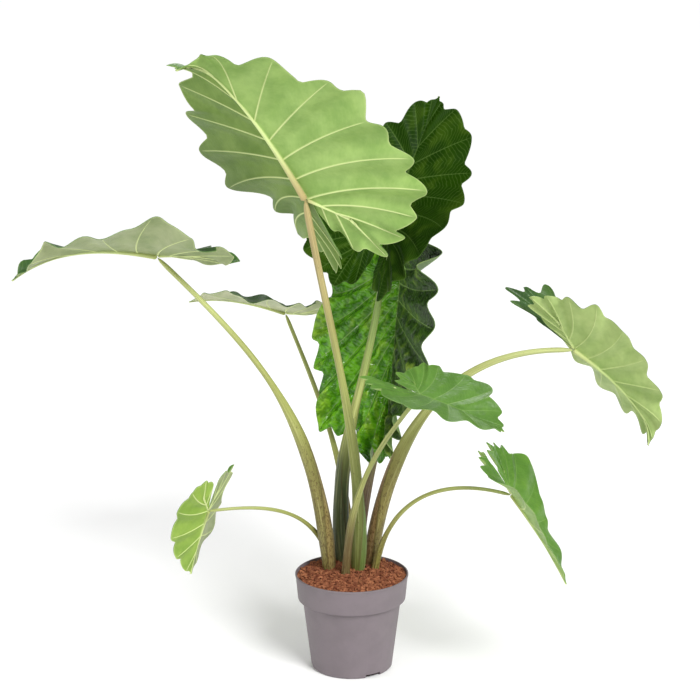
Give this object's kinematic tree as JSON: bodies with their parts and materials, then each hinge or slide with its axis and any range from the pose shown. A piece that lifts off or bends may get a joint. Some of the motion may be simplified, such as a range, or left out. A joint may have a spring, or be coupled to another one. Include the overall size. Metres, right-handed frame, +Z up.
{
  "type": "potted alocasia",
  "caption": "Tall potted alocasia: arrow-shaped leaves with wavy toothed edges on long arching stalks, in a grey round nursery pot filled with coir soil.",
  "frame": {"origin": "centre of the pot's flat base, on the surface that the pot stands on", "axes": "+Z up, +X to the plant's right as pictured, +Y to its back"},
  "size_m": [1.1701, 0.7944, 1.1661],
  "materials": {
    "pot_plastic": "matte grey-mauve plastic",
    "soil_coir": "rough red-brown coir chips",
    "stalk_olive": "satin olive, brown-speckled plant stalk",
    "leaf_green": "glossy green leaf, paler below"
  },
  "bodies": {
    "root": {"pot": "pot_plastic", "soil": "soil_coir", "stalk_tall_left": "stalk_olive", "blade_tall_left": "leaf_green", "stalk_tall_back": "stalk_olive", "blade_tall_back": "leaf_green", "stalk_hanging": "stalk_olive", "blade_hanging": "leaf_green", "stalk_front_right": "stalk_olive", "blade_front_right": "leaf_green", "stalk_far_right": "stalk_olive", "blade_far_right": "leaf_green", "stalk_low_right": "stalk_olive", "blade_low_right": "leaf_green", "stalk_low_left": "stalk_olive", "blade_low_left": "leaf_green", "stalk_far_left": "stalk_olive", "blade_far_left": "leaf_green", "stalk_back_left": "stalk_olive", "blade_back_left": "leaf_green"}
  },
  "joints": []
}
